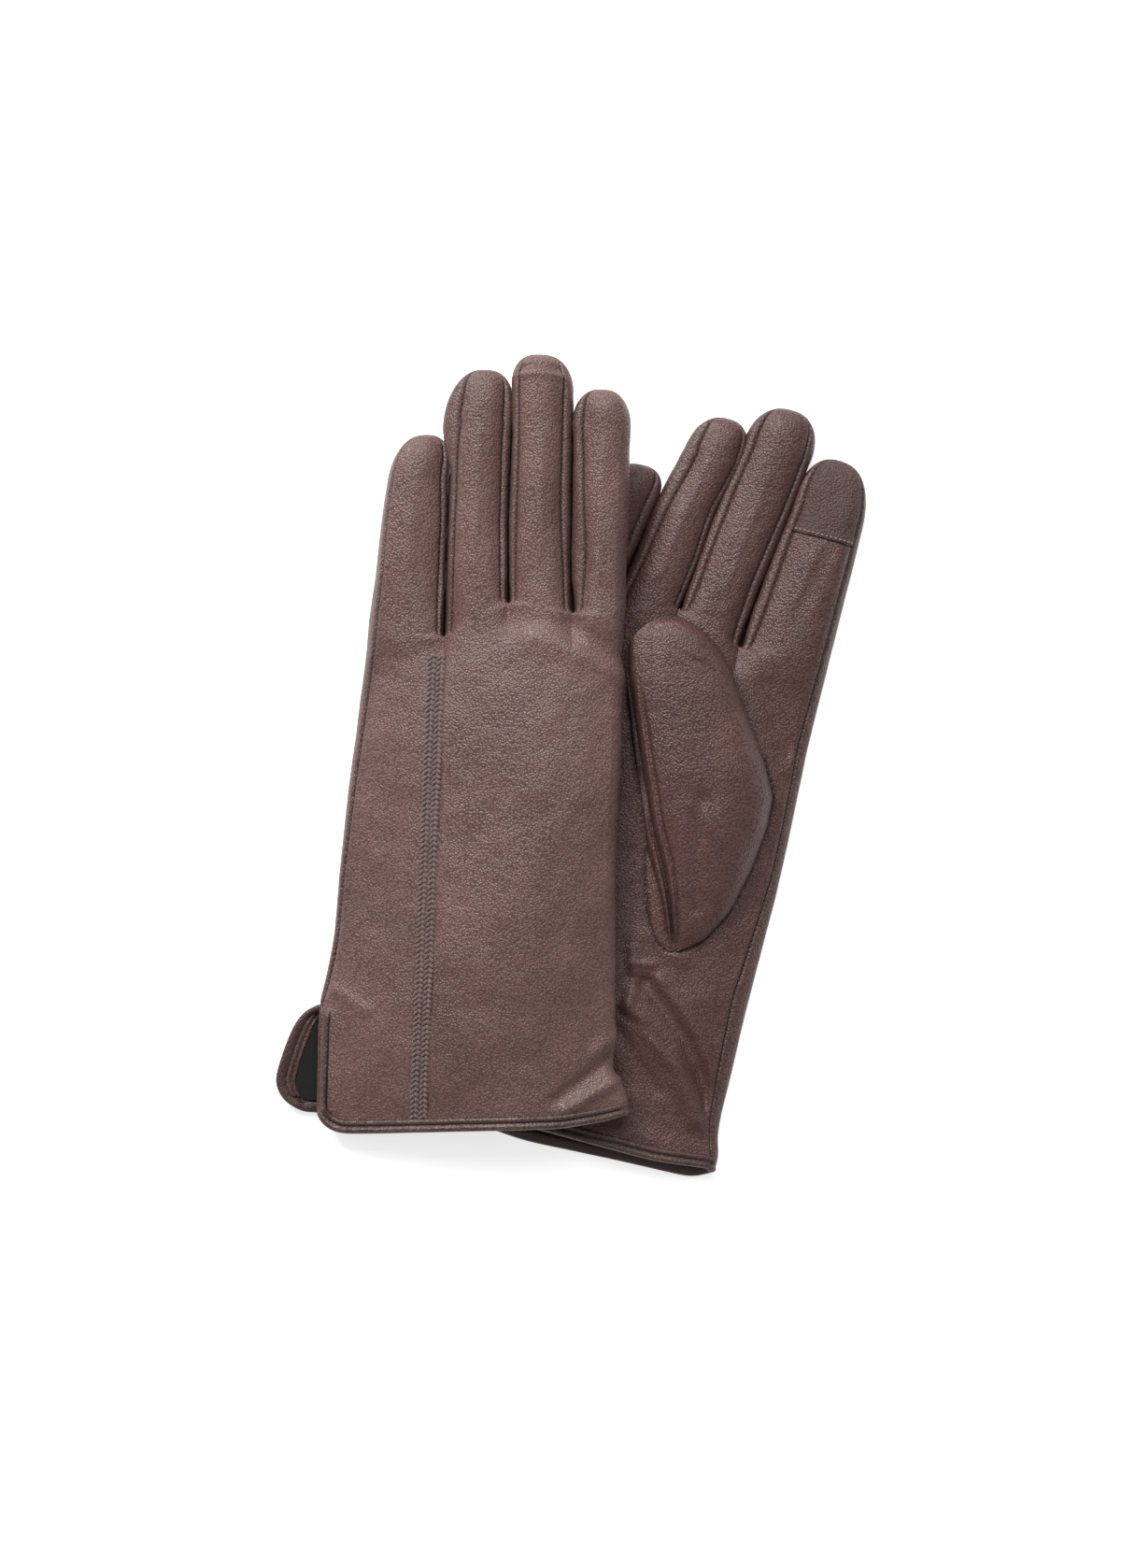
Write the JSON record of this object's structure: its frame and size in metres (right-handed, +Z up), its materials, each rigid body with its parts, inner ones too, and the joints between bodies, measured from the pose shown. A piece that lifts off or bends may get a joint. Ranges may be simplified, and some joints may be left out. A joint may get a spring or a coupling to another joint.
{
  "type": "pair of lined leather touchscreen gloves",
  "caption": "Pair of lined brown leather gloves laid out as a pair, one palm up and one back up, with fourchettes, a bound vented cuff, a braided back line and touch fingertips.",
  "frame": {"origin": "centre of the pair's footprint, on the table it lies on", "axes": "+Z up from the table, +Y towards the fingertips, +X towards the index-finger sides"},
  "size_m": [0.1836, 0.2534, 0.0261],
  "materials": {
    "leather": "semi-matte fine-grained nappa",
    "leather_side": "semi-matte fine-grained nappa",
    "touch_leather": "semi-matte, slightly smoother conductive leather",
    "lining_knit": "matte brushed knit",
    "thread": "twisted sewing thread",
    "elastic": "woven elastic"
  },
  "bodies": {
    "right_glove": {"right_back_panel": "leather", "right_palm_panel": "leather", "right_hand_lining": "lining_knit", "right_cuff_binding": "leather", "right_back_braid": "thread", "right_wrist_elastic": "elastic", "right_thumb_base": "leather", "right_little_back": "leather", "right_little_palm": "leather", "right_little_fourchette_index_side": "leather_side", "right_little_lining": "lining_knit"},
    "right_thumb": {"right_thumb_outer": "leather", "right_thumb_inner": "leather", "right_thumb_lining": "lining_knit"},
    "right_ring": {"right_ring_back": "leather", "right_ring_palm": "leather", "right_ring_fourchette_little_side": "leather_side", "right_ring_fourchette_index_side": "leather_side", "right_ring_lining": "lining_knit"},
    "right_middle": {"right_middle_back": "leather", "right_middle_palm": "leather", "right_middle_fourchette_little_side": "leather_side", "right_middle_fourchette_index_side": "leather_side", "right_middle_lining": "lining_knit"},
    "right_index": {"right_index_back": "leather", "right_index_palm": "leather", "right_index_touch_tip": "touch_leather", "right_index_fourchette_little_side": "leather_side", "right_index_lining": "lining_knit"},
    "left_glove": {"left_back_panel": "leather", "left_palm_panel": "leather", "left_hand_lining": "lining_knit", "left_cuff_binding": "leather", "left_back_braid": "thread", "left_wrist_elastic": "elastic", "left_thumb_base": "leather", "left_thumb_outer": "leather", "left_thumb_inner": "leather", "left_thumb_lining": "lining_knit"},
    "left_little": {"left_little_back": "leather", "left_little_palm": "leather", "left_little_fourchette_index_side": "leather_side", "left_little_lining": "lining_knit"},
    "left_ring": {"left_ring_back": "leather", "left_ring_palm": "leather", "left_ring_fourchette_little_side": "leather_side", "left_ring_fourchette_index_side": "leather_side", "left_ring_lining": "lining_knit"},
    "left_middle": {"left_middle_back": "leather", "left_middle_palm": "leather", "left_middle_fourchette_little_side": "leather_side", "left_middle_fourchette_index_side": "leather_side", "left_middle_lining": "lining_knit"},
    "left_index": {"left_index_back": "leather", "left_index_palm": "leather", "left_index_touch_tip": "touch_leather", "left_index_fourchette_little_side": "leather_side", "left_index_lining": "lining_knit"}
  },
  "joints": [
    {"name": "left_glove_lift", "type": "slide", "parent": "right_glove", "child": "left_glove", "axis": [0, 0, 1], "range_m": [0, 0.12]},
    {"name": "right_index_curl", "type": "hinge", "parent": "right_glove", "child": "right_index", "pos_m": [0.06739, 0.03839, 0.0095], "axis": [0.9655, -0.2605, 0], "range_deg": [0, 75]},
    {"name": "right_middle_curl", "type": "hinge", "parent": "right_glove", "child": "right_middle", "pos_m": [0.04358, 0.04666, 0.0095], "axis": [0.9655, -0.2605, 0], "range_deg": [0, 75]},
    {"name": "right_ring_curl", "type": "hinge", "parent": "right_glove", "child": "right_ring", "pos_m": [0.02531, 0.05073, 0.0095], "axis": [0.9655, -0.2605, 0], "range_deg": [0, 75]},
    {"name": "right_thumb_lift", "type": "hinge", "parent": "right_glove", "child": "right_thumb", "pos_m": [0.04064, -0.00082, 0.01998], "axis": [0.9999, 0.0157, 0], "range_deg": [0, 60]},
    {"name": "left_little_bend", "type": "hinge", "parent": "left_glove", "child": "left_little", "pos_m": [-0.05217, 0.04385, 0.01415], "axis": [0.9994, -0.0349, 0], "range_deg": [0, 45]},
    {"name": "left_ring_bend", "type": "hinge", "parent": "left_glove", "child": "left_ring", "pos_m": [-0.02971, 0.04675, 0.01917], "axis": [0.9994, -0.0349, 0], "range_deg": [0, 45]},
    {"name": "left_middle_bend", "type": "hinge", "parent": "left_glove", "child": "left_middle", "pos_m": [-0.01036, 0.04913, 0.02218], "axis": [0.9994, -0.0349, 0], "range_deg": [0, 45]},
    {"name": "left_index_bend", "type": "hinge", "parent": "left_glove", "child": "left_index", "pos_m": [0.00829, 0.04874, 0.02329], "axis": [0.9994, -0.0349, 0], "range_deg": [0, 45]}
  ]
}
